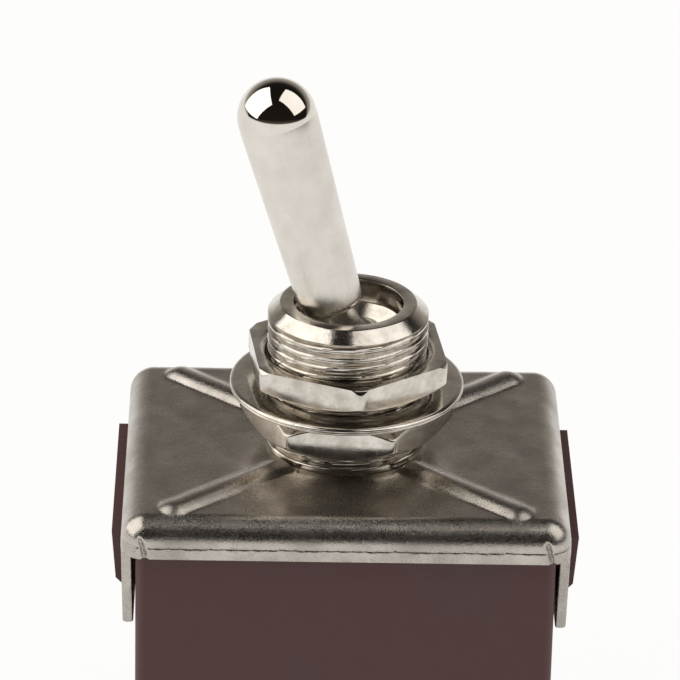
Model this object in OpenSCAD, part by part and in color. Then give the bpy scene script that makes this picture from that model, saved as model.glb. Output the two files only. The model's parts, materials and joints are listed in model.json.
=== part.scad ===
// Three-pole panel toggle switch with a bat lever, a threaded bushing and screw terminals.
// The origin is the centre of the base, on the bushing axis; +Z points up the bushing.

/* [Frame] */
// Length of the pressed frame, across the arms
frame_length = 33; // [32:0.1:36]
// Width of the pressed frame
frame_width = 27.8; // [27.2:0.1:31]
// Thickness of the frame sheet
sheet = 0.8; // [0.6:0.05:1]
// Height of the top face above the base
deck_height = 27; // [26:0.5:32]
// Depth of the short skirt on the front and the back
skirt_depth = 3; // [2.8:0.1:3.1]
// Depth of the side arms below the top face
arm_depth = 9.25; // [9.2:0.05:10]
// Inward lean of an arm at its end
arm_lean = 0.15; // [0:0.05:0.15]
// Outside radius of the bend round the top face, and of the corners
bend_radius = 1.85; // [1.5:0.05:1.9]
// Width of a pressed rib at the top face
rib_width = 2.5; // [2:0.1:2.8]
// Height of a pressed rib
rib_height = 0.5; // [0.3:0.05:0.6]
// Distance of a rib's end from the frame's edges
rib_margin = 2.7; // [2.6:0.1:4]

/* [Bushing] */
// Outside diameter of the thread
thread_d = 12; // [11.5:0.1:12.5]
// Height of the bushing above the top face
bushing_height = 11.6; // [11.4:0.1:12.4]
// Diameter of the flat ring at the mouth
ring_d = 10.1; // [9.5:0.1:10.5]
// Pitch of the thread
thread_pitch = 0.75; // [0.5:0.25:1]
// Height of the outside chamfer at the mouth
mouth_chamfer = 0.85; // [0.6:0.05:1]
// Diameter of the mouth
mouth_d = 8.14; // [8:0.02:8.4]
// Depth of the straight part of the mouth
mouth_depth = 1.8; // [1.6:0.1:2]
// Diameter of the neck through the frame
neck_d = 10.8; // [10.4:0.1:11.2]
// Diameter of the staked flange under the frame
flange_d = 15; // [14:0.5:16]
// Thickness of the staked flange
flange_thick = 1; // [0.8:0.1:1.1]

/* [Nuts and washer] */
// Width across the flats of both nuts
nut_af = 14; // [13.6:0.1:15]
// Thickness of the front nut
front_nut_thick = 2.15; // [1.9:0.05:2.3]
// Gap between the front nut and the washer
front_nut_gap = 0.75; // [0.4:0.05:0.9]
// Thickness of the back nut
back_nut_thick = 2.7; // [2.4:0.1:2.8]
// Height of the back nut above the frame
back_nut_height = 1.8; // [1.6:0.1:2]
// Turn of the front nut
front_nut_turn = 6.5; // [0:0.5:59]
// Turn of the back nut
back_nut_turn = 25.7; // [0:0.1:59.9]
// Diameter of the washer
washer_d = 17.5; // [17:0.1:19]
// Thickness of the washer
washer_thick = 0.6; // [0.5:0.05:0.7]
// Play of the washer on the thread, in the radius
washer_play = 0.4; // [0.2:0.05:0.45]

/* [Lever] */
// Lean of the lever to each side
lever_angle = 15.9; // [12:0.1:15.9]
// Height of the pivot above the frame
pivot_height = 6.95; // [6.7:0.05:7.1]
// Distance from the pivot to the centre of the round end
lever_reach = 20.15; // [17:0.05:24]
// Diameter of the round end
bat_tip_d = 5.88; // [5.4:0.02:6.4]
// Diameter of the bat at its shoulder
bat_root_d = 4.84; // [4.6:0.02:4.84]
// Distance from the pivot to the shoulder
bat_root = 4.4; // [4.2:0.1:5]
// Radius of the rounded shoulder
shoulder_radius = 0.75; // [0.5:0.05:0.9]
// Diameter of the stem between the ball and the bat
stem_d = 3.44; // [3:0.02:3.5]
// Diameter of the ball
ball_d = 6.6; // [6.2:0.1:6.6]
// Diameter of the tail that carries the carrier
tail_d = 3.1; // [2.8:0.1:3.1]
// Diameter of the pivot pin
pin_d = 1.6; // [1.2:0.1:2]

/* [Housing] */
// Thickness of the housing wall
wall = 1.9; // [1.6:0.1:2]
// Thickness of the housing floor
floor_thick = 1.8; // [1.6:0.1:2.2]
// Height of the wire channels under the floor
channel_height = 8; // [7.4:0.1:9]
// Thickness of the barriers between the wire channels
barrier = 1.2; // [1:0.1:1.4]
// Length of the side bosses that hold the arms
boss_length = 17.9; // [16:0.1:19]
// Height of the side bosses
boss_height = 4.35; // [3.6:0.05:4.4]
// Depth of the top of the side bosses below the frame's top face
boss_depth = 3.2; // [3.2:0.1:4]
// How far the side bosses stand out of the arms
boss_proud = 0.75; // [0.4:0.05:1]
// Thickness of the insulating sheet under the frame
insulator_thick = 0.4; // [0.3:0.1:0.6]

/* [Contacts] */
// Tilt of the rockers to each side
rocker_tilt = 6; // [4:0.5:6]
// Rise of a rocker's arms
rocker_rise = 18; // [18:0.5:20]
// Distance from a rocker's axis to its contacts, along an arm
contact_reach = 7.2; // [6.8:0.1:7.4]
// Thickness of the contact strips
strip = 0.9; // [0.7:0.05:1]
// Diameter of the terminal screws
screw_d = 3.5; // [3:0.1:3.6]
// Diameter of the screw heads
screw_head_d = 5.4; // [5:0.1:5.6]
// Height of the screw heads
screw_head = 2; // [1.6:0.1:2.2]

/* [Hidden] */
$fn = 64;

// Clearances
running = 0.05;     // between parts that turn or slide on each other
loose = 0.2;        // round parts that pass through a hole
hair = 0.01;        // round parts pressed into each other
cut = 1;            // overrun of a cut past the face it opens

// Heights
pivot_z = deck_height + pivot_height;
back_nut_z = deck_height + back_nut_height;
washer_z = back_nut_z + back_nut_thick;
front_nut_z = washer_z + washer_thick + front_nut_gap;
insulator_z = deck_height - sheet - insulator_thick;
floor_z = channel_height + floor_thick;

// Frame
arm_inset = 1.9;                 // from an arm's end to the front and back faces
arm_width = frame_width - 2 * arm_inset;
lobe = 1.6;                      // width of a side bend's end, seen from the front
lobe_top = 1;                    // top of the groove beside a lobe, below the top face
rib_radius = (pow(rib_width / 2, 2) + pow(rib_height, 2)) / (2 * rib_height);
rib_sink = rib_height - rib_radius;
rib_end = [frame_length / 2 - rib_margin - rib_width / 2, frame_width / 2 - rib_margin];
rib_angle = atan2(rib_end[1], rib_end[0]);
rib_clear_d = thread_d + 2 * loose;
window_gap = 0.3;
window_length = boss_length + 2 * window_gap;
arm_round = sheet / 2;

// Bushing and nuts
seat_d = ball_d + 4 * running;
seat_top = 1.6;                  // from the pivot up to the shoulder over the ball
ledge_d = mouth_d - 2.24;
foot_chamfer = 0.25;
bore_bottom_d = neck_d - 2;
flare_start = 2.45;              // from the pivot down to the start of the flared bore
nut_bore_d = thread_d + 2 * running;
washer_bore_d = thread_d + 2 * washer_play;
washer_offset = [0, washer_play - running];

// Housing and its poles
body_length = frame_length - 2 * (sheet + 0.3);
body_width = frame_width - 2 * (sheet + 0.1);
cavity_x = body_length / 2 - wall;
cavity_y = body_width / 2 - wall;
top_ease = 0.4;
boss_draft = 0.3;                // how far a boss falls back towards its lower edge
pole_edge = 1.3;                 // between the outer poles' fields and the housing's faces
pole_pitch = (body_width - 2 * pole_edge) / 3;
partition = 1;

// Rocker, worked out for the pole that is closed to the right
hub_rise = 1.3;                  // from a rocker's axis up to the notch between its arms
hub_d = 2.4;
trunnion_d = 1.6;
rocker_width = 3.6;
rocker_gap = 0.25;               // between a plunger and the arm that it holds down
head_d = 2.4;
head_thick = 0.6;
shank_d = 1.2;
contact_gap = 0.1;
arm_slope = rocker_rise - rocker_tilt;
arm_offset = hub_rise * cos(rocker_rise);
rocker_lift = 2.734;             // of a rocker's axis above the floor
rocker_z = floor_z + rocker_lift;
partition_z = rocker_z + 1.6;
landing_z = rocker_z + cos(arm_slope) * (arm_offset - strip - head_thick)
    + sin(arm_slope) * (contact_reach - head_d / 2);
landing_x = contact_reach * cos(arm_slope) - sin(arm_slope) * (arm_offset - strip - head_thick);
fixed_top = landing_z - contact_gap;
pad_z = fixed_top - head_thick;
rocker_half = (contact_reach + head_d / 2 + 0.4) * cos(rocker_rise);

// Lever, carrier and plungers, measured from the pivot along the lever; a plunger's nose
// stands on the rocker's arm at the lever's end position
pin_length = thread_d - 1;
nose_d = 2.2;
nose_rest = arm_offset + nose_d / 2 + rocker_gap;
nose_centre = ((pivot_z - rocker_z) * cos(arm_slope) - nose_rest) / cos(lever_angle - arm_slope);
plunger_reach = nose_centre + nose_d / 2;
plunger_proud = 2.7;             // how far a plunger stands out of the carrier
plunger_d = 2.8;
carrier_top = 10.6;
carrier_bottom = plunger_reach - plunger_proud;
carrier_height = carrier_bottom - carrier_top;
carrier_half = 3.2;
carrier_end = 2.6;               // from an outer plunger's axis to the carrier's end
carrier_length = 2 * (pole_pitch + carrier_end);
tail_end = carrier_top + 0.32 * carrier_height;
chamber_top = carrier_top + 0.4 * carrier_height;
plunger_top = carrier_top + 0.82 * carrier_height;
spring_wire = 0.35;
spring_d = 2.3;
spring_turns = 3;

// Terminals
ear_gap = loose;
ear_thick = 0.8;
ear_half = 1.8;
ear_out = rocker_width / 2 + ear_gap + ear_thick;
leg_gap = 0.5;                   // between a throw's leg and the cavity's wall
leg_x = cavity_x - leg_gap - strip;
plate_rim = loose + 0.75;        // between a screw's hole and the leg beside it
screw_pitch = leg_x - screw_d / 2 - plate_rim;
plate_half = (pole_pitch - barrier) / 2 - 0.4;
tip_depth = 1.3;                 // of a screw's tip in the floor
screw_hole_d = screw_d + 2 * loose;

// ---- shared shapes ----

// Things in the lever's own frame, with the pivot at the origin and the lever upright
module on_lever() {
    translate([0, 0, pivot_z])
        rotate([0, -lever_angle, 0])
            children();
}

// The place of a rocker's axis, with the rocker tilted to the side that is closed
module on_rocker(i) {
    translate([0, pole_y(i), rocker_z])
        rotate([0, rocker_tilt, 0])
            children();
}

function pole_y(i) = (i - 2) * pole_pitch;

// Extrusion along Y of a profile drawn in X and Z
module along_y(length) {
    translate([0, length / 2, 0])
        rotate([90, 0, 0])
            linear_extrude(length)
                children();
}

// Extrusion along X of a profile drawn in Y and Z
module along_x(length) {
    rotate([0, 0, 90])
        along_y(length)
            children();
}

// Block given by its lowest and highest corners
module block(low, high) {
    translate(low)
        cube(high - low);
}

// Plan outline with round corners
module rounded_plan(length, width, radius) {
    square([length - 2 * radius, width], center = true);
    square([length, width - 2 * radius], center = true);
    for (x = [-1, 1], y = [-1, 1])
        translate([x * (length / 2 - radius), y * (width / 2 - radius)])
            circle(radius);
}

// ---- housing ----

// Upright outline whose top edges are eased to sit inside the frame's bends
module eased_outline(half) {
    polygon([
        [-half, 0], [half, 0], [half, insulator_z - 1.2], [half - top_ease, insulator_z],
        [-half + top_ease, insulator_z], [-half, insulator_z - 1.2]
    ]);
}

module housing_walls() {
    intersection() {
        linear_extrude(insulator_z)
            rounded_plan(body_length, body_width, 0.8);
        along_x(body_length)
            eased_outline(body_width / 2);
        along_y(body_width)
            eased_outline(body_length / 2);
    }
}

// Block that fills an arm's window; its face leans back to a chamfered lower edge
module side_boss() {
    root = body_length / 2 - wall / 2;
    reach = frame_length / 2 + boss_proud;
    low_reach = reach - boss_draft;
    top = deck_height - boss_depth;
    bottom = top - boss_height;
    chamfer = 0.5;
    along_y(boss_length)
        polygon([
            [root, top], [reach, top], [low_reach, bottom + chamfer],
            [low_reach - chamfer, bottom], [root, bottom]
        ]);
}

module wire_channels() {
    outer_edge = cavity_y + wall - barrier;
    for (i = [1:3]) {
        low = i == 1 ? -outer_edge : pole_y(i) - (pole_pitch - barrier) / 2;
        high = i == 3 ? outer_edge : pole_y(i) + (pole_pitch - barrier) / 2;
        block([-body_length, low, -cut], [body_length, high, channel_height]);
    }
}

module floor_slots() {
    slack = hair;
    for (i = [1:3]) {
        translate([0, pole_y(i), 0]) {
            common_leg(slack, channel_height - cut, floor_z + cut);
            for (side = [-1, 1])
                throw_leg(side, slack, channel_height - cut, floor_z + cut);
            for (x = [-1, 0, 1])
                translate([x * screw_pitch, 0, channel_height - cut])
                    cylinder(d = screw_hole_d, h = tip_depth + cut);
        }
    }
}

module housing() {
    color("#5b3a38")
        difference() {
            union() {
                housing_walls();
                side_boss();
                mirror([1, 0, 0])
                    side_boss();
            }
            difference() {
                block([-cavity_x, -cavity_y, floor_z], [cavity_x, cavity_y, deck_height]);
                for (y = [-1, 1])
                    block([-cavity_x, y * pole_pitch / 2 - partition / 2, floor_z - cut],
                          [cavity_x, y * pole_pitch / 2 + partition / 2, partition_z]);
            }
            wire_channels();
            floor_slots();
        }
}

module insulator() {
    color("#c9b48c")
        translate([0, 0, insulator_z])
            difference() {
                linear_extrude(insulator_thick)
                    rounded_plan(frame_length - 2 * bend_radius, frame_width - 2 * bend_radius, 0.8);
                translate([0, 0, -cut])
                    cylinder(d = flange_d + 2 * loose, h = insulator_thick + 2 * cut);
            }
}

// ---- frame ----

// Section across a block whose top edges are round
module round_top(half, depth, radius) {
    edge = half - radius;
    polygon([
        [-half, -depth], [-half, -radius], [-edge, 0], [edge, 0], [half, -radius], [half, -depth]
    ]);
    for (x = [-edge, edge])
        translate([x, -radius])
            circle(radius);
}

// Block below z = 0 with its top edges and its upright edges rounded alike
module rounded_block(length, width, depth, radius) {
    intersection() {
        along_y(width + cut)
            round_top(length / 2, depth, radius);
        along_x(length + cut)
            round_top(width / 2, depth, radius);
        translate([0, 0, -depth])
            linear_extrude(depth + cut)
                rounded_plan(length, width, radius);
    }
}

module folded_tray() {
    difference() {
        rounded_block(frame_length, frame_width, skirt_depth, bend_radius);
        translate([0, 0, -sheet])
            rounded_block(frame_length - 2 * sheet, frame_width - 2 * sheet,
                          skirt_depth + cut, bend_radius - sheet);
    }
}

// Arm with a round outer edge at its end and a window for the housing's boss
module arm() {
    out = frame_length / 2;
    tip = out - arm_lean;
    difference() {
        along_y(arm_width) {
            polygon([
                [out - sheet, -bend_radius], [out, -bend_radius], [out, -skirt_depth],
                [tip, -arm_depth + arm_round], [tip - arm_round, -arm_depth + arm_round],
                [tip - arm_round, -arm_depth], [tip - sheet, -arm_depth],
                [out - sheet, -skirt_depth]
            ]);
            translate([tip - arm_round, -arm_depth + arm_round])
                circle(arm_round);
        }
        block([out - 2 * sheet, -window_length / 2, -boss_depth - boss_height - window_gap],
              [out + cut, window_length / 2, -boss_depth + window_gap]);
    }
}

// Round-ended roller whose upper side is the crown of a rib
module rib_roller(radius, start) {
    length = norm(rib_end);
    translate([0, 0, rib_sink])
        rotate([0, 90, rib_angle]) {
            translate([0, 0, start])
                cylinder(r = radius, h = length - start);
            for (z = [start, length])
                translate([0, 0, z])
                    sphere(radius);
        }
}

module four_ribs(radius, start) {
    for (flip = [0, 1], turn = [0, 180])
        mirror([0, flip, 0])
            rotate([0, 0, turn])
                rib_roller(radius, start);
}

// Groove where a side bend's lobe meets the front or back skirt, and the notch under it
module lobe_groove() {
    translate([frame_length / 2 - lobe, frame_width / 2, -skirt_depth]) {
        rotate([0, 0, 45])
            cube([0.42, 0.42, 2 * (skirt_depth - lobe_top)], center = true);
        rotate([90, 0, 0])
            cylinder(r = 0.3, h = 3 * sheet, center = true);
    }
}

module frame() {
    hollow_start = flange_d / 2 + sheet;
    color("#8d8983")
        translate([0, 0, deck_height])
            difference() {
                union() {
                    folded_tray();
                    arm();
                    mirror([1, 0, 0])
                        arm();
                    intersection() {
                        four_ribs(rib_radius, thread_d / 2);
                        block([-frame_length / 2, -frame_width / 2, -sheet / 2],
                              [frame_length / 2, frame_width / 2, rib_height + cut]);
                    }
                }
                intersection() {
                    four_ribs(rib_radius - sheet, hollow_start);
                    translate([0, 0, -cut - sheet])
                        cylinder(d = 2 * frame_length, h = cut + sheet);
                }
                for (x = [0, 1], y = [0, 1])
                    mirror([x, 0, 0])
                        mirror([0, y, 0])
                            lobe_groove();
                cylinder(d = rib_clear_d, h = rib_height + cut);
                translate([0, 0, -sheet - cut])
                    cylinder(d = neck_d + 2 * hair, h = sheet + 3 * cut);
            }
}

// ---- bushing, nuts and washer ----

// Ring cut to the depth of the thread, level with the front nut's face: the root that shows there
module thread_root() {
    depth = 0.6 * thread_pitch;
    translate([0, 0, front_nut_z + front_nut_thick])
        rotate_extrude()
            polygon([
                [thread_d / 2 + hair, -thread_pitch / 2], [thread_d / 2 - depth, 0],
                [thread_d / 2 + hair, thread_pitch / 2]
            ]);
}

module bushing() {
    ledge_z = bushing_height - mouth_depth;
    color("#b9b2a6")
        difference() {
            translate([0, 0, deck_height])
                rotate_extrude()
                    polygon([
                        [mouth_d / 2, bushing_height], [ring_d / 2, bushing_height],
                        [thread_d / 2, bushing_height - mouth_chamfer],
                        [thread_d / 2, foot_chamfer], [thread_d / 2 - foot_chamfer, 0],
                        [neck_d / 2, 0], [neck_d / 2, -sheet],
                        [flange_d / 2, -sheet], [flange_d / 2, -sheet - flange_thick],
                        [bore_bottom_d / 2, -sheet - flange_thick],
                        [seat_d / 2, pivot_height - flare_start],
                        [seat_d / 2, pivot_height + seat_top],
                        [ledge_d / 2, pivot_height + seat_top],
                        [ledge_d / 2, ledge_z - (mouth_d - ledge_d) / 3],
                        [mouth_d / 2, ledge_z]
                    ]);
            translate([0, 0, pivot_z])
                rotate([90, 0, 0])
                    cylinder(d = pin_d, h = thread_d + cut, center = true);
            thread_root();
        }
}

module pivot_pin() {
    color("#9a9a98")
        translate([0, 0, pivot_z])
            rotate([90, 0, 0])
                cylinder(d = pin_d - 2 * hair, h = pin_length, center = true);
}

// Hexagon nut; its chamfers are cones from the circles on its faces to the corners
module hex_nut(thick, top_circle, top_drop, bottom_drop) {
    corner = nut_af / sqrt(3);
    bottom_circle = nut_af / 2 - 0.1;
    sink = 0.25;
    difference() {
        intersection() {
            cylinder(r = corner, h = thick, $fn = 6);
            rotate_extrude()
                polygon([
                    [0, 0], [bottom_circle, 0], [corner, bottom_drop],
                    [corner, thick - top_drop], [top_circle, thick], [0, thick]
                ]);
        }
        translate([0, 0, -cut])
            cylinder(d = nut_bore_d, h = thick + 2 * cut);
        translate([0, 0, thick - sink])
            cylinder(d1 = nut_bore_d, d2 = nut_bore_d + 4 * sink, h = 2 * sink);
    }
}

module front_nut() {
    color("#c7c0b2")
        translate([0, 0, front_nut_z])
            rotate([0, 0, front_nut_turn - 90])
                hex_nut(front_nut_thick, nut_af / sqrt(3) - 0.33, 0.47, 0.6);
}

module back_nut() {
    color("#9c9689")
        translate([0, 0, back_nut_z])
            rotate([0, 0, back_nut_turn - 90])
                hex_nut(back_nut_thick, nut_af / 2 - 0.1, 0.95, 0.9);
}

module washer() {
    edge = 0.15;
    color("#b3ada2")
        translate([washer_offset[0], washer_offset[1], washer_z])
            rotate_extrude()
                polygon([
                    [washer_bore_d / 2, 0], [washer_d / 2 - edge, 0], [washer_d / 2, edge],
                    [washer_d / 2, washer_thick - edge], [washer_d / 2 - edge, washer_thick],
                    [washer_bore_d / 2, washer_thick]
                ]);
}

// ---- lever and carrier ----

module bat_profile() {
    root = bat_root + shoulder_radius;
    polygon([
        [0, 0], [stem_d / 2, 0], [stem_d / 2, bat_root],
        [bat_root_d / 2 - shoulder_radius, bat_root], [bat_root_d / 2 - shoulder_radius, root],
        [bat_root_d / 2, root], [bat_tip_d / 2, lever_reach], [0, lever_reach]
    ]);
    translate([bat_root_d / 2 - shoulder_radius, root])
        circle(shoulder_radius);
    translate([0, lever_reach])
        circle(d = bat_tip_d);
    circle(d = ball_d);
    translate([0, -tail_end])
        square([tail_d / 2, tail_end]);
}

module lever() {
    color("#d8d1c4")
        on_lever()
            difference() {
                rotate_extrude()
                    intersection() {
                        bat_profile();
                        translate([0, -tail_end])
                            square([bat_tip_d + ball_d, tail_end + lever_reach + bat_tip_d]);
                    }
                rotate([90, 0, 0])
                    cylinder(d = pin_d + 2 * running, h = 2 * ball_d, center = true);
            }
}

module carrier() {
    color("#3b3b3d")
        on_lever()
            difference() {
                block([-carrier_half, -carrier_length / 2, -carrier_bottom],
                      [carrier_half, carrier_length / 2, -carrier_top]);
                translate([0, 0, -tail_end])
                    cylinder(d = tail_d + 2 * hair, h = tail_end);
                for (i = [1:3])
                    translate([0, pole_y(i), -carrier_bottom - cut])
                        cylinder(d = plunger_d + 2 * running, h = carrier_bottom - chamber_top + cut);
            }
}

module plunger(i) {
    color("#e6e2d8")
        on_lever()
            translate([0, pole_y(i), 0]) {
                rotate_extrude()
                    polygon([
                        [0, -plunger_top], [plunger_d / 2, -plunger_top],
                        [plunger_d / 2, -carrier_bottom],
                        [nose_d / 2, -carrier_bottom - 0.4], [nose_d / 2, -nose_centre],
                        [0, -nose_centre]
                    ]);
                translate([0, 0, -nose_centre])
                    sphere(d = nose_d);
            }
}

// Point on the wire's surface: a is the angle along the coil, b round the wire
function coil_point(a, b, rise) =
    let (r = spring_d / 2 + spring_wire / 2 * cos(b))
    [r * cos(a), r * sin(a), rise + spring_wire / 2 * sin(b)];

module coil(height) {
    sides = 6;
    steps = 14 * spring_turns;
    last = steps * sides;
    polyhedron(
        points = [
            for (s = [0:steps], k = [0:sides - 1])
                coil_point(360 * spring_turns * s / steps, 360 * k / sides, height * s / steps)
        ],
        faces = concat(
            [[for (k = [0:sides - 1]) k]],
            [for (s = [0:steps - 1], k = [0:sides - 1])
                let (n = (k + 1) % sides, a = s * sides, b = a + sides)
                [a + n, a + k, b + k, b + n]],
            [[for (k = [sides - 1:-1:0]) last + k]]
        )
    );
}

module spring(i) {
    room = plunger_top - chamber_top;
    seat = spring_wire / 2 + hair;
    color("#c9c9c9")
        on_lever()
            translate([0, pole_y(i), -plunger_top + seat])
                coil(room - 2 * seat);
}

// ---- rockers and terminals ----

module rocker(i) {
    rise = tan(rocker_rise) * rocker_half;
    drop = strip / cos(rocker_rise);
    color("#c98d4f")
        on_rocker(i)
            difference() {
                union() {
                    along_y(rocker_width)
                        polygon([
                            [-rocker_half, hub_rise + rise], [0, hub_rise], [rocker_half, hub_rise + rise],
                            [rocker_half, hub_rise + rise - drop], [0, hub_rise - drop],
                            [-rocker_half, hub_rise + rise - drop]
                        ]);
                    rotate([90, 0, 0])
                        cylinder(d = hub_d, h = rocker_width, center = true);
                    rotate([90, 0, 0])
                        cylinder(d = trunnion_d, h = 2 * ear_out, center = true);
                }
                for (side = [0, 1])
                    mirror([side, 0, 0])
                        on_arm()
                            translate([0, 0, -strip - cut])
                                cylinder(d = shank_d, h = strip + 2 * cut);
            }
}

// The contact's place on a rocker's right arm, with +Z square to the arm's upper side
module on_arm() {
    rotate([0, -rocker_rise, 0])
        translate([contact_reach, 0, arm_offset])
            children();
}

module rocker_contacts(i) {
    color("#d9d9d6")
        on_rocker(i)
            for (side = [0, 1])
                mirror([side, 0, 0])
                    on_arm()
                        translate([0, 0, -strip - head_thick]) {
                            cylinder(d = head_d, h = head_thick);
                            cylinder(d = shank_d - 2 * hair, h = head_thick + strip);
                        }
}

module common_leg(slack, low, high) {
    x = screw_d / 2 + plate_rim;
    block([x - slack, -1.5 - slack, low], [x + strip + slack, 1.5 + slack, high]);
}

module throw_leg(side, slack, low, high) {
    x = side * leg_x;
    y = 1.8 + slack;
    block([min(x, x + side * strip) - slack, -y, low], [max(x, x + side * strip) + slack, y, high]);
}

module terminal_plate(low_x, high_x, screw_x) {
    difference() {
        block([low_x, -plate_half, channel_height - strip], [high_x, plate_half, channel_height]);
        translate([screw_x, 0, channel_height - strip - cut])
            cylinder(d = screw_d, h = strip + 2 * cut);
    }
}

// Cradle for a rocker, with its leg through the floor and its screw plate below
module common_terminal(i) {
    edge = screw_d / 2 + plate_rim + strip;
    color("#c9a45c")
        translate([0, pole_y(i), 0]) {
            block([-ear_half, -ear_out, floor_z], [edge, ear_out, floor_z + ear_thick]);
            common_leg(0, channel_height - strip, floor_z + ear_thick);
            terminal_plate(-plate_half, edge, 0);
            difference() {
                for (y = [-ear_out, ear_out - ear_thick])
                    block([-ear_half, y, floor_z], [ear_half, y + ear_thick, rocker_z + 0.9]);
                translate([0, 0, rocker_z])
                    rotate([90, 0, 0])
                        cylinder(d = trunnion_d + 2 * running, h = 3 * ear_out, center = true);
                block([-trunnion_d / 2 - running, -2 * ear_out, rocker_z],
                      [trunnion_d / 2 + running, 2 * ear_out, rocker_z + cut]);
            }
        }
}

// Pad for a fixed contact, with its leg through the floor and its screw plate below
module throw_terminal(side, i) {
    inner = landing_x - head_d / 2 - 0.3;
    outer = leg_x + strip;
    plate = screw_pitch - plate_half;
    color("#c9a45c")
        translate([0, pole_y(i), 0])
            difference() {
                union() {
                    block([min(side * inner, side * outer), -1.8, pad_z - strip],
                          [max(side * inner, side * outer), 1.8, pad_z]);
                    throw_leg(side, 0, channel_height - strip, pad_z);
                    terminal_plate(min(side * plate, side * outer), max(side * plate, side * outer),
                                   side * screw_pitch);
                }
                translate([side * landing_x, 0, pad_z - strip - cut])
                    cylinder(d = shank_d, h = strip + 2 * cut);
            }
}

module fixed_contacts() {
    color("#d9d9d6")
        for (i = [1:3], side = [-1, 1])
            translate([side * landing_x, pole_y(i), pad_z - strip]) {
                cylinder(d = shank_d - 2 * hair, h = strip + head_thick);
                translate([0, 0, strip])
                    cylinder(d = head_d, h = head_thick);
            }
}

module terminal_screw() {
    shank = strip + tip_depth - loose;
    round = 0.4;
    difference() {
        union() {
            rotate_extrude()
                polygon([
                    [0, -screw_head], [screw_head_d / 2 - round, -screw_head],
                    [screw_head_d / 2, -screw_head + round], [screw_head_d / 2, 0], [0, 0]
                ]);
            cylinder(d = screw_d - 2 * hair, h = shank);
        }
        translate([0, 0, -screw_head])
            for (turn = [0, 90])
                rotate([0, 0, turn])
                    cube([turn == 0 ? 2 * screw_head_d : 3, 0.8, 1.6], center = true);
    }
}

module terminal_screws() {
    color("#c2bcae")
        for (i = [1:3], x = [-1, 0, 1])
            translate([x * screw_pitch, pole_y(i), channel_height - strip])
                terminal_screw();
}

housing();
insulator();
frame();
bushing();
pivot_pin();
lever();
carrier();
back_nut();
washer();
front_nut();
plunger(1);  // plunger_1
plunger(2);  // plunger_2
plunger(3);  // plunger_3
spring(1);  // spring_1
spring(2);  // spring_2
spring(3);  // spring_3
rocker(1);  // rocker_1
rocker(2);  // rocker_2
rocker(3);  // rocker_3
rocker_contacts(1);  // rocker_contacts_1
rocker_contacts(2);  // rocker_contacts_2
rocker_contacts(3);  // rocker_contacts_3
common_terminal(1);  // common_terminal_1
common_terminal(2);  // common_terminal_2
common_terminal(3);  // common_terminal_3
throw_terminal(-1, 1);  // left_terminal_1
throw_terminal(-1, 2);  // left_terminal_2
throw_terminal(-1, 3);  // left_terminal_3
throw_terminal(1, 1);  // right_terminal_1
throw_terminal(1, 2);  // right_terminal_2
throw_terminal(1, 3);  // right_terminal_3
fixed_contacts();
terminal_screws();
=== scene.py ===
"""Looks of a three-pole panel toggle switch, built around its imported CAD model.

Everything is in metres in the CAD frame: the origin is the centre of the base, +Z runs up
the bushing and the camera looks along +Y. MM turns the millimetres below into metres.
"""

import json
import math

import bmesh
import bpy
import numpy as np
from mathutils import Matrix, Quaternion, Vector


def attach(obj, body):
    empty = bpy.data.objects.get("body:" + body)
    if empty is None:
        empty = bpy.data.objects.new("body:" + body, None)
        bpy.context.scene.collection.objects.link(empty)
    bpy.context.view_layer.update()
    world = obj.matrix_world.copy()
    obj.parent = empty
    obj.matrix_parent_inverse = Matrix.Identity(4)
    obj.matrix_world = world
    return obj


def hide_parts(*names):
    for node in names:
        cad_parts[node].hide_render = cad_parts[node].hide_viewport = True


MM = 0.001

# main sizes, in mm, as in the CAD model
DECK = 27.0                    # height of the frame's top face
PIVOT = DECK + 6.95            # height of the lever's pivot
LEAN = 15.9                    # lean of the lever, in degrees
THREAD_R = 6.0                 # outside radius of the bushing's thread
PITCH = 0.75                   # pitch of the thread
MOUTH_Z = 11.6                 # top of the bushing above the frame
NUT_AF = 14.0                  # width of both nuts across their flats
BACK_NUT_Z = DECK + 1.8
BACK_NUT_THICK = 2.7
WASHER_Z = BACK_NUT_Z + BACK_NUT_THICK
FRONT_NUT_Z = WASHER_Z + 1.35
FRONT_NUT_THICK = 2.15
SHEET = 0.8                    # thickness of the frame's sheet
BEND = 1.85                    # outside radius of the frame's bends and corners
FRAME_HALF = (16.49, 13.89)    # half of the frame's length and width
RIB_END = (12.55, 11.2)        # end of a rib's axis in one quarter of the frame

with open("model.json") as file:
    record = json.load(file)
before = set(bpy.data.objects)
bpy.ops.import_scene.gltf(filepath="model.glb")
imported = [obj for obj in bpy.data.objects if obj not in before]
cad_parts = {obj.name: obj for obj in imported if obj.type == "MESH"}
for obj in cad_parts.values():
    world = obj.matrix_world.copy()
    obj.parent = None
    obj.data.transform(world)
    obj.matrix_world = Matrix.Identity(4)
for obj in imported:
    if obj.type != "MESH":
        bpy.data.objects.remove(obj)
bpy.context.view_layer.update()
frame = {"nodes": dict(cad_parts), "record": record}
scene = bpy.context.scene

# ---- shader helpers ----


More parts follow.
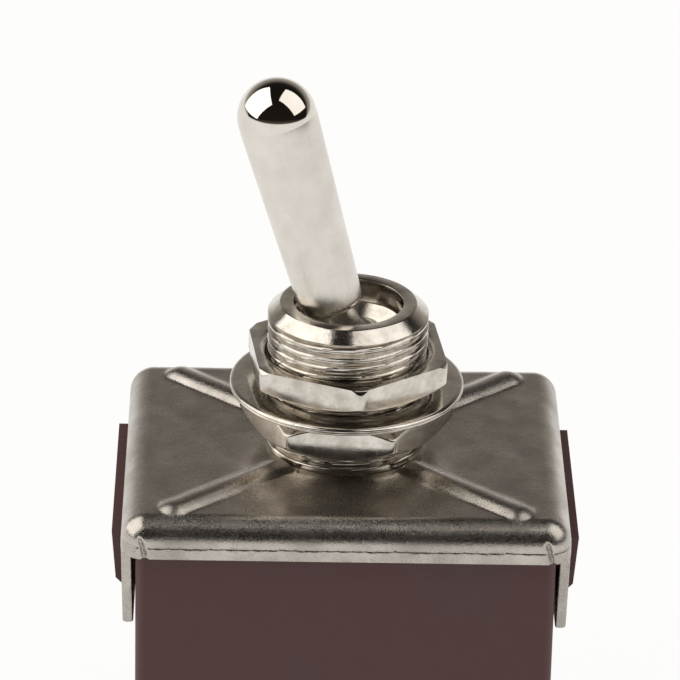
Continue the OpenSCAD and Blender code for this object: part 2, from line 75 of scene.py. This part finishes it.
class Shader:
    """One node material, built up by small calls that return output sockets."""

    def __init__(self, name):
        self.material = bpy.data.materials.new(name)
        self.material.use_nodes = True
        self.tree = self.material.node_tree
        self.bsdf = self.tree.nodes["Principled BSDF"]
        self.place = self.node("ShaderNodeTexCoord").outputs["Object"]

    def node(self, kind, **settings):
        made = self.tree.nodes.new(kind)
        for key, value in settings.items():
            setattr(made, key, value)
        return made

    def link(self, value, socket):
        if isinstance(value, bpy.types.NodeSocket):
            self.tree.links.new(value, socket)
        else:
            socket.default_value = value

    def stretched(self, scale, turn=(0, 0, 0)):
        made = self.node("ShaderNodeMapping")
        self.link(self.place, made.inputs["Vector"])
        made.inputs["Scale"].default_value = scale
        made.inputs["Rotation"].default_value = turn
        return made.outputs[0]

    def noise(self, per_mm, detail=4.0, vector=None, rough=0.55, distortion=0.0):
        made = self.node("ShaderNodeTexNoise")
        self.link(vector or self.place, made.inputs["Vector"])
        made.inputs["Scale"].default_value = per_mm / MM
        made.inputs["Detail"].default_value = detail
        made.inputs["Roughness"].default_value = rough
        made.inputs["Distortion"].default_value = distortion
        return made.outputs["Fac"]

    def cells(self, per_mm, vector=None):
        made = self.node("ShaderNodeTexVoronoi")
        self.link(vector or self.place, made.inputs["Vector"])
        made.inputs["Scale"].default_value = per_mm / MM
        return made.outputs["Distance"]

    def ramp(self, value, low, high, bottom=0.0, top=1.0):
        made = self.node("ShaderNodeMapRange")
        self.link(value, made.inputs["Value"])
        for key, number in (("From Min", low), ("From Max", high), ("To Min", bottom), ("To Max", top)):
            made.inputs[key].default_value = number
        return made.outputs["Result"]

    def mix(self, factor, one, other):
        made = self.node("ShaderNodeMix", data_type="RGBA")
        self.link(factor, made.inputs["Factor"])
        self.link(rgba(one), made.inputs["A"])
        self.link(rgba(other), made.inputs["B"])
        return made.outputs["Result"]

    def math(self, operation, one, other=0.0):
        made = self.node("ShaderNodeMath", operation=operation)
        self.link(one, made.inputs[0])
        self.link(other, made.inputs[1])
        return made.outputs[0]

    def bump(self, height, depth_mm, strength=1.0, over=None):
        made = self.node("ShaderNodeBump")
        self.link(height, made.inputs["Height"])
        made.inputs["Distance"].default_value = depth_mm * MM
        self.link(strength, made.inputs["Strength"])
        if over is not None:
            self.link(over, made.inputs["Normal"])
        return made.outputs["Normal"]

    def height(self):
        made = self.node("ShaderNodeSeparateXYZ")
        self.link(self.place, made.inputs[0])
        return made.outputs[2]

    def finish(self, colour, roughness, normal=None, metallic=0.0, **fixed):
        self.link(rgba(colour), self.bsdf.inputs["Base Color"])
        self.link(roughness, self.bsdf.inputs["Roughness"])
        self.bsdf.inputs["Metallic"].default_value = metallic
        if normal is not None:
            self.link(normal, self.bsdf.inputs["Normal"])
        for key, value in fixed.items():
            self.bsdf.inputs[key.replace("_", " ")].default_value = value
        return self.material


def rgba(colour):
    return (*colour, 1.0) if isinstance(colour, tuple) and len(colour) == 3 else colour


def brushed_nickel(name, pale, dull, rough, grain=(1.0, 1.0, 1.0), mottle=0.5, pit=0.004):
    """Plated metal: cloudy tone, fine lines along the stretched direction and small pits."""
    s = Shader(name)
    cloud = s.noise(mottle, 5.0)
    lines = s.noise(9.0, 3.0, s.stretched(grain))
    tone = s.mix(s.ramp(cloud, 0.3, 0.7), dull, pale)
    base = s.ramp(cloud, 0.3, 0.7, rough * 1.15, rough * 0.85)
    gloss = s.math("ADD", base, s.ramp(lines, 0.2, 0.8, -0.04, 0.05))
    normal = s.bump(lines, pit)
    return s.finish(tone, gloss, normal, metallic=1.0)


def phenolic(name):
    """Moulded maroon phenolic: faint flow tone, a dull skin and a few tiny pits."""
    s = Shader(name)
    flow = s.noise(0.12, 6.0, s.stretched((1.0, 1.0, 0.6)))
    grain = s.noise(6.0, 4.0)
    pits = s.ramp(s.cells(1.1), 0.0, 0.06)
    tone = s.mix(s.ramp(flow, 0.3, 0.7), (0.066, 0.025, 0.0235), (0.092, 0.0325, 0.030))
    tone = s.mix(s.math("MULTIPLY", grain, 0.25), tone, (0.14, 0.062, 0.059))
    tone = s.mix(s.math("MULTIPLY", s.ramp(pits, 1.0, 0.0), 0.7), tone, (0.02, 0.01, 0.01))
    normal = s.bump(grain, 0.012)
    normal = s.bump(pits, 0.02, over=normal)
    return s.finish(tone, s.ramp(flow, 0.3, 0.7, 0.42, 0.55), normal)


def plain_moulding(name, pale, dull, rough):
    s = Shader(name)
    grain = s.noise(3.0, 4.0)
    tone = s.mix(s.ramp(grain, 0.35, 0.65), dull, pale)
    return s.finish(tone, s.ramp(grain, 0.3, 0.7, rough, rough + 0.12), s.bump(grain, 0.01))


def fibre_sheet(name):
    s = Shader(name)
    fibres = s.noise(2.5, 6.0, s.stretched((1.0, 6.0, 1.0)))
    tone = s.mix(s.ramp(fibres, 0.3, 0.7), (0.42, 0.31, 0.17), (0.60, 0.48, 0.30))
    return s.finish(tone, 0.8, s.bump(fibres, 0.03))


def pressed_plate(name):
    """Plated sheet with a fine speckle, dark grit and cloudy stains."""
    s = Shader(name)
    cloud = s.noise(0.35, 6.0, rough=0.6)
    speck = s.noise(7.0, 2.0)
    grit = s.ramp(s.cells(2.4), 0.0, 0.16)
    tone = s.mix(s.ramp(cloud, 0.36, 0.66), (0.36, 0.325, 0.29), (0.52, 0.48, 0.43))
    tone = s.mix(s.ramp(speck, 0.52, 0.72, 0.0, 0.5), tone, (0.66, 0.63, 0.58))
    tone = s.mix(s.ramp(grit, 0.0, 1.0, 0.55, 0.0), tone, (0.15, 0.12, 0.10))
    stain = s.ramp(s.noise(0.9, 5.0, rough=0.65), 0.60, 0.72, 0.0, 0.5)
    tone = s.mix(stain, tone, (0.22, 0.17, 0.13))
    gloss = s.math("ADD", s.ramp(cloud, 0.3, 0.7, 0.33, 0.22), s.ramp(speck, 0.3, 0.7, -0.03, 0.07))
    normal = s.bump(speck, 0.012)
    normal = s.bump(grit, 0.012, over=normal)
    return s.finish(tone, gloss, normal, metallic=1.0)


def polished_tip(name):
    """Satin bat with lengthwise grain and a mirror-bright dome beyond a sharp edge."""
    s = Shader(name)
    grain = s.noise(6.0, 4.0, s.stretched((1.0, 1.0, 0.06)))
    cloud = s.noise(0.5, 4.0)
    dome = s.ramp(s.height(), 19.99 * MM, 20.03 * MM)
    tone = s.mix(s.ramp(cloud, 0.3, 0.7), (0.66, 0.62, 0.56), (0.76, 0.72, 0.66))
    gloss = s.math("ADD", s.ramp(grain, 0.2, 0.8, 0.24, 0.34), s.math("MULTIPLY", dome, -0.25))
    normal = s.bump(grain, 0.006, s.ramp(dome, 0.0, 1.0, 1.0, 0.05))
    return s.finish(tone, s.math("MAXIMUM", gloss, 0.03), normal, metallic=1.0)


def scratched_nickel(name, rough):
    """Bright plating with fine turned lines, upright drag marks and a few dark pits."""
    s = Shader(name)
    lines = s.noise(5.0, 3.0, s.stretched((0.2, 0.2, 3.0)))
    drag = s.noise(3.0, 3.0, s.stretched((2.0, 2.0, 0.15)))
    pits = s.ramp(s.cells(1.3), 0.0, 0.10)
    cloud = s.noise(0.8, 5.0, rough=0.6)
    tone = s.mix(s.ramp(cloud, 0.35, 0.65), (0.50, 0.46, 0.40), (0.70, 0.66, 0.60))
    tone = s.mix(s.ramp(pits, 0.0, 1.0, 0.8, 0.0), tone, (0.10, 0.08, 0.06))
    base = s.ramp(cloud, 0.3, 0.7, rough * 1.4, rough * 0.8)
    gloss = s.math("ADD", base, s.ramp(drag, 0.3, 0.7, -0.02, 0.05))
    normal = s.bump(lines, 0.003)
    normal = s.bump(drag, 0.003, over=normal)
    normal = s.bump(pits, 0.012, over=normal)
    return s.finish(tone, gloss, normal, metallic=1.0)


MATERIALS = {
    "nut_nickel": scratched_nickel("nut_nickel", 0.14),
    "phenolic": phenolic("phenolic"),
    "frame_plate": pressed_plate("frame_plate"),
    "nickel": scratched_nickel("nickel", 0.12),
    "lever_nickel": polished_tip("lever_nickel"),
    "steel_pin": brushed_nickel("steel_pin", (0.55, 0.55, 0.54), (0.42, 0.42, 0.42), 0.3, (1, 0.1, 1)),
    "spring_steel": brushed_nickel("spring_steel", (0.6, 0.6, 0.6), (0.45, 0.45, 0.46), 0.25),
    "copper": brushed_nickel("copper", (0.72, 0.38, 0.22), (0.5, 0.25, 0.15), 0.35),
    "silver": brushed_nickel("silver", (0.80, 0.79, 0.76), (0.62, 0.61, 0.58), 0.3),
    "terminal_brass": brushed_nickel("terminal_brass", (0.68, 0.49, 0.22), (0.5, 0.34, 0.15), 0.32),
    "black_moulding": plain_moulding("black_moulding", (0.022, 0.022, 0.024), (0.014, 0.014, 0.015), 0.5),
    "nylon": plain_moulding("nylon", (0.78, 0.76, 0.70), (0.68, 0.66, 0.6), 0.4),
    "fish_paper": fibre_sheet("fish_paper"),
}

for part in frame["record"]["subparts"]:
    node = frame["nodes"][part["node"]]
    node.data.materials.clear()
    node.data.materials.append(MATERIALS[part["material_slot"]])

# ---- turned pieces ----


def eased(points, radius, steps=3):
    """Closed outline with every corner rounded, as far as the edges beside it allow."""
    result = []
    count = len(points)
    for k, point in enumerate(points):
        here = Vector(point)
        before, after = Vector(points[k - 1]) - here, Vector(points[(k + 1) % count]) - here
        reach = min(radius, before.length * 0.45, after.length * 0.45)
        first = here + before.normalized() * reach if before.length else here
        last = here + after.normalized() * reach if after.length else here
        for step in range(steps):
            t = step / (steps - 1)
            result.append(first * (1 - t) ** 2 + here * (2 * t * (1 - t)) + last * t ** 2)
    return result


def turned(name, columns, profile, place, body, material, node=None):
    """Surface swept round an axis: profile(angle) gives a column's loop of (radius, height)."""
    loops = [profile(math.tau * c / columns) for c in range(columns)]
    rows = len(loops[0])
    verts = []
    for c, loop in enumerate(loops):
        angle = math.tau * c / columns
        verts += [(r * math.cos(angle) * MM, r * math.sin(angle) * MM, z * MM) for r, z in loop]
    faces = []
    for c in range(columns):
        after = (c + 1) % columns
        for k in range(rows):
            up = (k + 1) % rows
            faces.append((c * rows + k, after * rows + k, after * rows + up, c * rows + up))
    mesh = bpy.data.meshes.new(name)
    mesh.from_pydata(verts, [], faces)
    shape = bmesh.new()
    shape.from_mesh(mesh)
    bmesh.ops.remove_doubles(shape, verts=shape.verts, dist=1e-7)
    bmesh.ops.dissolve_degenerate(shape, edges=shape.edges, dist=1e-7)
    bmesh.ops.recalc_face_normals(shape, faces=shape.faces)
    shape.to_mesh(mesh)
    shape.free()
    return show(name, mesh, place, body, material, node)


def show(name, mesh, place, body, material, node=None):
    """Adds a mesh as a piece that rides a CAD body, and may stand for a CAD node."""
    mesh.shade_smooth()
    mesh.materials.append(material)
    piece = bpy.data.objects.new(name, mesh)
    scene.collection.objects.link(piece)
    piece.matrix_world = place
    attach(piece, body)
    if node:
        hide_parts(node)
    return piece


def sharpened(piece, degrees):
    piece.data.set_sharp_from_angle(angle=math.radians(degrees))


def at_height(z, y=0.0):
    return Matrix.Translation((0, y * MM, z * MM))


def ramp01(value, low, high):
    t = np.clip((value - low) / (high - low), 0.0, 1.0)
    return t * t * (3 - 2 * t)


def thread_radius(z, angle):
    """Crest and root of the bushing's thread; it runs out at the foot and at the mouth."""
    depth, crest_wear = 0.42, 0.012
    phase = (z / PITCH - angle / math.tau) % 1.0
    groove = float(ramp01(1 - abs(2 * phase - 1), 0.12, 0.92))
    run = float(ramp01(z, 0.3, 0.9) * ramp01(z, 10.95, 10.6))
    return THREAD_R - crest_wear - depth * groove * run


def bushing_loop(angle):
    """Bore from the mouth down to the flange, foot, thread and chamfered mouth."""
    bore = eased([
        (4.07, MOUTH_Z), (4.07, 9.8), (2.95, 9.05), (2.95, 8.55),
        (3.4, 8.55), (3.4, 4.5), (4.4, -1.8),
    ], 0.07)
    foot = eased([(7.5, -1.8), (7.5, -0.82), (5.4, -0.82), (5.4, 0.02), (5.72, 0.02)], 0.06)
    rows, start, end = 148, 0.27, 10.74
    heights = [start + (end - start) * k / (rows - 1) for k in range(rows)]
    thread = [(thread_radius(z, angle), z) for z in heights]
    mouth = [
        (5.975, 10.78), (5.12, 11.55), (5.07, 11.59), (5.0, MOUTH_Z), (4.16, MOUTH_Z), (4.1, 11.58),
    ]
    return bore[2:] + foot + thread + mouth


def nut_loop(thick, top_circle, top_drop, bottom_drop, turn):
    """Loops of a hexagon nut whose corners are cut back by cones above and below."""
    corner, flat, bore = NUT_AF / math.sqrt(3), NUT_AF / 2, THREAD_R + 0.03
    bottom_circle = 6.9

    def loop(angle):
        off = (angle - math.radians(turn - 90)) % (math.pi / 3) - math.pi / 6
        out = min(flat / math.cos(off), corner - 0.11)
        top_in, low_in = min(top_circle, out - 0.02), min(bottom_circle, out - 0.02)
        top = thick - top_drop * max(0.0, out - top_circle) / (corner - top_circle)
        low = bottom_drop * max(0.0, out - bottom_circle) / (corner - bottom_circle)
        return eased([
            (bore, 0.3), (bore + 0.3, 0.0), (low_in, 0.0), (out, low), (out, top),
            (top_in, thick), (bore + 0.5, thick), (bore, thick - 0.32),
        ], 0.1)

    return loop


def washer_loop(angle):
    """Slightly wavy washer with a rounded rim and the line that its blanking left."""
    wave = 0.012 * math.sin(3 * angle + 0.7) * 0.5
    rim = 8.735 + 0.01 * math.sin(5 * angle)
    return eased([
        (6.42, 0.02), (rim - 0.2, 0.02 + wave), (rim, 0.14), (rim + 0.01, 0.27), (rim - 0.07, 0.31),
        (rim + 0.005, 0.35), (rim - 0.02, 0.47), (rim - 0.2, 0.585 + wave), (6.42, 0.585),
    ], 0.09)


def lever_loop(angle):
    """Dome, tapered bat, shoulder, stem, ball and tail, from the pole of the dome down."""
    tip_r, tip_s, root_r, root_s, ball_r = 2.935, 20.15, 2.42, 5.15, 3.3
    points = [(0.0, tip_s + tip_r)]
    for k in range(1, 25):
        a = math.radians(90 - 90 * k / 24)
        points.append((tip_r * math.cos(a), tip_s + tip_r * math.sin(a)))
    points += [(tip_r - 0.004, 20.06), (tip_r - 0.022, 20.02), (tip_r - 0.012, 19.97)]
    for k in range(1, 21):
        t = k / 20
        points.append((tip_r + (root_r - tip_r) * t, 19.9 + (root_s - 19.9) * t))
    for k in range(1, 9):
        a = math.radians(-90 * k / 8)
        points.append((root_r - 0.75 + 0.75 * math.cos(a), root_s + 0.75 * math.sin(a)))
    points += [(1.8, 4.4), (1.72, 4.3), (1.72, 2.83)]
    for k in range(1, 17):
        a = math.radians(58.5 - 120.5 * k / 16)
        points.append((ball_r * math.cos(a), ball_r * math.sin(a)))
    points += [(1.54, -3.2), (1.54, -12.45), (1.4, -12.56), (0.0, -12.57)]
    return points


# ---- pressed frame, as a distance field ----


def soft_max(a, b, k):
    h = np.clip(0.5 + (a - b) / (2 * k), 0.0, 1.0)
    return b + (a - b) * h + k * h * (1 - h)


def soft_min(a, b, k):
    return -soft_max(-a, -b, k)


def frame_distance(x, y, z):
    """Signed distance in mm to the frame's pressed sheet, with z measured from its top face."""
    half_x, half_y = FRAME_HALF
    ax, ay = np.abs(x), np.abs(y)
    out = np.hypot(x, y)
    # ribs run from the bushing towards the corners
    rib = math.atan2(RIB_END[1], RIB_END[0])
    along = ax * math.cos(rib) + ay * math.sin(rib)
    across = ay * math.cos(rib) - ax * math.sin(rib)
    away = np.hypot(across, np.maximum(along - math.hypot(*RIB_END), 0.0))
    rib_radius, rib_height = 1.8125, 0.5
    crown = rib_height - rib_radius + np.sqrt(rib_radius ** 2 - np.minimum(away, 1.7) ** 2)
    lift = 0.5 * (crown + np.sqrt(crown ** 2 + 0.12 ** 2)) - 0.0055
    lift = lift * 0.985 * ramp01(out, 6.08, 6.3)
    wave = 0.012 * np.sin(0.55 * x + 1.3) * np.cos(0.7 * y - 0.4) + 0.006 * np.sin(1.7 * x + 0.9 * y)
    high = z - lift
    qx, qy, qz = ax - (half_x - BEND), ay - (half_y - BEND), high + BEND
    skin = np.sqrt(np.maximum(qx, 0) ** 2 + np.maximum(qy, 0) ** 2 + np.maximum(qz, 0) ** 2)
    skin = skin + np.minimum(np.maximum(np.maximum(qx, qy), qz), 0.0) - BEND
    # the crease where the bend ends is irregular
    crease = -1.98 + 0.05 * np.sin(1.9 * x + 0.6) * np.sin(0.43 * x) + 0.03 * np.sin(6.1 * x + 2.3 * y)
    skin = skin + 0.012 + wave * ramp01(z, -1.5, -0.3)
    skin = skin + 0.07 * np.exp(-((z - crease) / 0.11) ** 2)
    shell = np.abs(skin + SHEET / 2) - SHEET / 2
    shell = soft_max(shell, -2.99 - z, 0.09)
    # grooves beside the lobes at the ends of the side bends
    depth = 0.36 * ramp01(-z, 0.75, 1.5)
    line = np.abs(x - np.sign(x) * 14.88 - 0.27 * (-z - 2.1))
    groove = (line + (half_y - ay) - depth) / math.sqrt(2)
    shell = soft_max(shell, -groove, 0.1)
    shell = soft_max(shell, 5.42 - out, 0.05)
    # side arms with a window each
    face = half_x - 0.15 * np.clip((-z - 3) / 6.25, 0.0, 1.0)
    arm = soft_max(np.abs(ax - face + SHEET / 2) - SHEET / 2, ay - 11.98, 0.16)
    arm = soft_max(arm, -9.24 - z, 0.3)
    arm = np.maximum(arm, z + 2.0)
    hole = np.maximum(ay - 9.25, np.abs(z + 5.3) - 2.55)
    arm = soft_max(arm, -hole, 0.12)
    return soft_min(shell, arm, 0.08)


def spread(low, high, fine, coarse, edge):
    """Grid positions, closer together within the edge distance of both ends."""
    outer = np.arange(low, low + edge, fine)
    inner = np.linspace(low + edge, high - edge, int((high - low - 2 * edge) / coarse) + 1)
    return np.concatenate([outer, inner, (low + high) - outer[::-1]])


def field_mesh(name, distance, xs, ys, zs):
    """Skin of a distance field: one point in each crossed cell, moved onto the skin itself."""
    grid = np.meshgrid(xs, ys, zs, indexing="ij")
    value = distance(*grid)
    inside = value < 0
    shape = tuple(n - 1 for n in value.shape)
    total, found = np.zeros((*shape, 3)), np.zeros(shape)

    def corner(array, offset):
        return array[tuple(slice(o, o + n) for o, n in zip(offset, shape))]

    for axis in range(3):
        for a in (0, 1):
            for b in (0, 1):
                start = [a, b]
                start.insert(axis, 0)
                end = list(start)
                end[axis] = 1
                v0, v1 = corner(value, start), corner(value, end)
                crossed = (v0 < 0) != (v1 < 0)
                t = np.where(crossed, v0 / np.where(crossed, v0 - v1, 1.0), 0.0)
                for k in range(3):
                    p0, p1 = corner(grid[k], start), corner(grid[k], end)
                    total[..., k] += np.where(crossed, p0 + (p1 - p0) * t, 0.0)
                found += crossed
    used = found > 0
    number = np.full(shape, -1)
    number[used] = np.arange(used.sum())
    points = total[used] / found[used][:, None]

    def slope(p):
        e = 0.004
        parts = []
        for k in range(3):
            step = np.zeros(3)
            step[k] = e
            parts.append((distance(*(p + step).T) - distance(*(p - step).T)) / (2 * e))
        return np.stack(parts, axis=1)

    for _ in range(3):
        g = slope(points)
        move = g * (distance(*points.T) / np.maximum((g * g).sum(1), 0.2))[:, None]
        points -= np.clip(move, -0.06, 0.06)
    normals = slope(points)
    normals /= np.maximum(np.linalg.norm(normals, axis=1), 1e-6)[:, None]
    faces = []
    for axis in range(3):
        low = [slice(None)] * 3
        high = [slice(None)] * 3
        low[axis], high[axis] = slice(0, -1), slice(1, None)
        change = inside[tuple(low)] != inside[tuple(high)]
        leaves = inside[tuple(low)]
        where = np.argwhere(change)
        b, c = (axis + 1) % 3, (axis + 2) % 3
        for side in (b, c):
            where = where[(where[:, side] > 0) & (where[:, side] < shape[side])]
        ring = []
        for db, dc in ((-1, -1), (0, -1), (0, 0), (-1, 0)):
            cell = where.copy()
            cell[:, b] += db
            cell[:, c] += dc
            ring.append(number[tuple(cell.T)])
        quads = np.stack(ring, axis=1)
        flip = ~leaves[tuple(where.T)]
        quads[flip] = quads[flip][:, ::-1]
        faces.append(quads)
    faces = np.concatenate(faces)
    mesh = bpy.data.meshes.new(name)
    mesh.from_pydata((points * MM).tolist(), [], faces.tolist())
    mesh.validate()
    return mesh, normals


def pressed_frame():
    xs = spread(-16.75, 16.75, 0.14, 0.28, 3.0)
    ys = spread(-14.15, 14.15, 0.14, 0.28, 2.7)
    zs = np.concatenate([
        np.arange(-9.5, -9.0, 0.14), np.arange(-8.96, -3.3, 0.27), np.arange(-3.25, 0.8, 0.125),
    ])
    mesh, normals = field_mesh("pressed_frame", frame_distance, xs, ys, zs)
    plate = MATERIALS["frame_plate"]
    show("pressed_frame", mesh, at_height(DECK), "switch_body", plate, "frame")
    mesh.normals_split_custom_set_from_vertices(normals.tolist())


def threaded_bushing():
    piece = turned("threaded_bushing", 144, bushing_loop, at_height(DECK),
                   "switch_body", MATERIALS["nickel"], "bushing")
    sharpened(piece, 35)


def nuts_and_washer():
    plating = MATERIALS["nut_nickel"]
    back = nut_loop(BACK_NUT_THICK, 6.9, 0.95, 0.9, 25.7)
    front = nut_loop(FRONT_NUT_THICK, 7.75, 0.47, 0.6, 6.5)
    piece = turned("back_nut_ring", 240, back, at_height(BACK_NUT_Z),
                   "back_nut_ring", plating, "back_nut")
    sharpened(piece, 50)
    piece = turned("front_nut_ring", 240, front, at_height(FRONT_NUT_Z),
                   "front_nut_ring", plating, "front_nut")
    sharpened(piece, 50)
    # the washer hangs on the thread, so its centre is behind the bushing's
    piece = turned("flat_washer", 160, washer_loop, at_height(WASHER_Z, 0.35),
                   "back_nut_ring", plating, "washer")
    sharpened(piece, 60)


def bat_lever():
    place = at_height(PIVOT) @ Matrix.Rotation(math.radians(-LEAN), 4, "Y")
    piece = turned("bat_lever", 96, lever_loop, place,
                   "lever_arm", MATERIALS["lever_nickel"], "lever")
    sharpened(piece, 50)


pressed_frame()
threaded_bushing()
nuts_and_washer()
bat_lever()

# ---- stage, light and camera ----

FLOOR_RADIUS = 4.0


def add_floor():
    mesh = bpy.data.meshes.new("floor")
    shape = bmesh.new()
    bmesh.ops.create_circle(shape, cap_ends=True, radius=FLOOR_RADIUS, segments=96)
    shape.to_mesh(mesh)
    shape.free()
    floor = bpy.data.objects.new("floor", mesh)
    scene.collection.objects.link(floor)
    s = Shader("floor_white")
    paper = s.noise(0.02, 3.0)
    s.finish(s.mix(s.ramp(paper, 0.3, 0.7), (0.86, 0.86, 0.86), (0.88, 0.88, 0.875)), 0.9)
    glow = s.node("ShaderNodeEmission")
    glow.inputs["Color"].default_value = (1.0, 0.995, 0.985, 1.0)
    path = s.node("ShaderNodeLightPath")
    bounced = s.math("MAXIMUM", path.outputs["Is Glossy Ray"], path.outputs["Is Transmission Ray"])
    seen = s.math("MAXIMUM", path.outputs["Is Camera Ray"], bounced)
    blend = s.node("ShaderNodeMixShader")
    s.link(s.math("MULTIPLY", seen, 0.96), blend.inputs[0])
    s.link(s.bsdf.outputs[0], blend.inputs[1])
    s.link(glow.outputs[0], blend.inputs[2])
    s.link(blend.outputs[0], s.tree.nodes["Material Output"].inputs["Surface"])
    mesh.materials.append(s.material)


def direction(azimuth, elevation):
    """Azimuth 0 is the camera's side and 90 the right; elevation is above the floor."""
    a, e = math.radians(azimuth), math.radians(elevation)
    return Vector((math.sin(a) * math.cos(e), -math.cos(a) * math.cos(e), math.sin(e)))


def add_softbox(name, way, facing, distance, width, height, radiance, colour=(1.0, 0.98, 0.95)):
    """Panel lamp in one direction that faces another; a lamp's power is pi times area times radiance."""
    lamp = bpy.data.lights.new(name, "AREA")
    lamp.shape = "RECTANGLE"
    lamp.size, lamp.size_y = width, height
    lamp.energy = math.pi * width * height * radiance
    lamp.color = colour
    box = bpy.data.objects.new(name, lamp)
    scene.collection.objects.link(box)
    box.location = Vector((0, 0, 0.03)) + direction(*way) * distance
    box.rotation_euler = direction(*facing).to_track_quat("Z", "Y").to_euler()


def add_world():
    """White at the horizon, where the camera can look, and a darker room above it."""
    world = bpy.data.worlds.new("studio")
    scene.world = world
    world.use_nodes = True
    tree = world.node_tree
    back = tree.nodes["Background"]
    coord = tree.nodes.new("ShaderNodeTexCoord")
    parts = tree.nodes.new("ShaderNodeSeparateXYZ")
    tree.links.new(coord.outputs["Generated"], parts.inputs[0])
    # angle from the horizon behind the object, over the top, to the one in front, as 0 to 1
    angle = tree.nodes.new("ShaderNodeMath")
    angle.operation = "ARCTAN2"
    tree.links.new(parts.outputs["Z"], angle.inputs[0])
    tree.links.new(parts.outputs["Y"], angle.inputs[1])
    share = tree.nodes.new("ShaderNodeMath")
    share.operation = "DIVIDE"
    tree.links.new(angle.outputs[0], share.inputs[0])
    share.inputs[1].default_value = math.pi
    room = tree.nodes.new("ShaderNodeValToRGB")
    tree.links.new(share.outputs[0], room.inputs[0])
    stops = room.color_ramp
    bands = [
        (0.0, (1.0, 1.0, 1.0)), (0.03, (0.9, 0.88, 0.85)), (0.06, (0.52, 0.49, 0.45)),
        (0.145, (0.27, 0.25, 0.23)), (0.20, (0.10, 0.09, 0.08)), (0.25, (0.014, 0.012, 0.011)),
        (0.42, (0.010, 0.009, 0.008)), (0.93, (0.016, 0.012, 0.010)), (0.96, (0.06, 0.045, 0.04)),
        (0.985, (0.12, 0.09, 0.08)), (0.995, (0.8, 0.78, 0.76)), (1.0, (1.0, 1.0, 1.0)),
    ]
    while len(stops.elements) < len(bands):
        stops.elements.new(0.5)
    for element, (at, colour) in zip(stops.elements, bands):
        element.position = at
        element.color = (*colour, 1.0)
    path = tree.nodes.new("ShaderNodeLightPath")
    seen = None
    for name in ("Is Camera Ray", "Is Glossy Ray", "Is Transmission Ray"):
        if seen is None:
            seen = path.outputs[name]
            continue
        either = tree.nodes.new("ShaderNodeMath")
        either.operation = "MAXIMUM"
        tree.links.new(seen, either.inputs[0])
        tree.links.new(path.outputs[name], either.inputs[1])
        seen = either.outputs[0]
    pick = tree.nodes.new("ShaderNodeMix")
    pick.data_type = "RGBA"
    tree.links.new(seen, pick.inputs["Factor"])
    pick.inputs["A"].default_value = (0.10, 0.098, 0.095, 1.0)
    tree.links.new(room.outputs["Color"], pick.inputs["B"])
    tree.links.new(pick.outputs["Result"], back.inputs["Color"])


def add_camera():
    """The photograph's view: a long lens looking down at the frame's top face."""
    data = bpy.data.cameras.new("camera")
    data.lens = 265.8
    data.clip_start, data.clip_end = 0.01, 20.0
    camera = bpy.data.objects.new("camera", data)
    scene.collection.objects.link(camera)
    deck = Vector((0.0, 0.0, 27.0)) * MM
    camera.location = deck + direction(-1.123, 26.498) * 0.377234
    ahead = (deck - camera.location).normalized()
    right = ahead.cross(Vector((0, 0, 1))).normalized()
    up = right.cross(ahead)
    roll = math.radians(1.305)
    side, top = right * math.cos(roll) + up * math.sin(roll), up * math.cos(roll) - right * math.sin(roll)
    aim = deck - side * 0.406 * MM + top * 7.623 * MM
    turn = (aim - camera.location).to_track_quat("-Z", "Y") @ Quaternion((0, 0, 1), roll)
    camera.rotation_mode = "QUATERNION"
    camera.rotation_quaternion = turn
    scene.camera = camera


add_floor()
add_world()
add_softbox("left_softbox", (-90, 40.4), (-90, 41.4), 1.065, 1.44, 1.36, 1.8)
add_softbox("right_softbox", (84, 51), (72, 46), 1.2, 1.15, 1.4, 1.4)
add_camera()

scene.view_settings.view_transform = "Standard"
